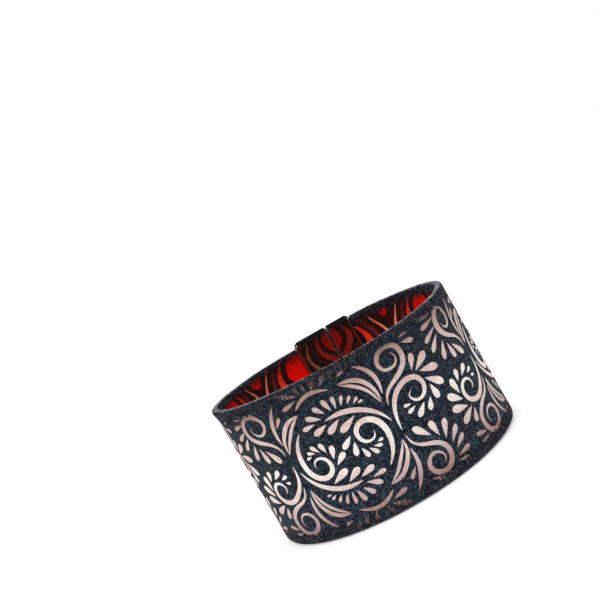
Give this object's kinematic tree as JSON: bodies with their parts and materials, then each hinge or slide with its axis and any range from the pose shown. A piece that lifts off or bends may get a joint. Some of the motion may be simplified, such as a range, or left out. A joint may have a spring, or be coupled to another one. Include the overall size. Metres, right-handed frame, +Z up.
{
  "type": "reversible bracelet",
  "caption": "Wide round cloth bracelet of two printed cloths back to back, overcast along both rims, closed by a flat polished glue-in clasp.",
  "frame": {"origin": "middle of the bracelet's foot print, on the surface it stands on", "axes": "+Z up through the wrist opening, +Y towards the clasp, +X to the right seen from the front"},
  "size_m": [0.067, 0.0654, 0.04],
  "materials": {
    "outer_cloth": "navy canvas with a rose and cream scroll print",
    "inner_cloth": "maroon canvas with a print of red pointed drops in nested bands",
    "edging_thread": "dark violet-grey overcast thread",
    "clasp_metal": "mirror polished"
  },
  "bodies": {
    "root": {"outer_cloth": "outer_cloth", "inner_cloth": "inner_cloth", "top_edging": "edging_thread", "bottom_edging": "edging_thread", "clasp_long_half": "clasp_metal", "clasp_short_half": "clasp_metal"}
  },
  "joints": []
}
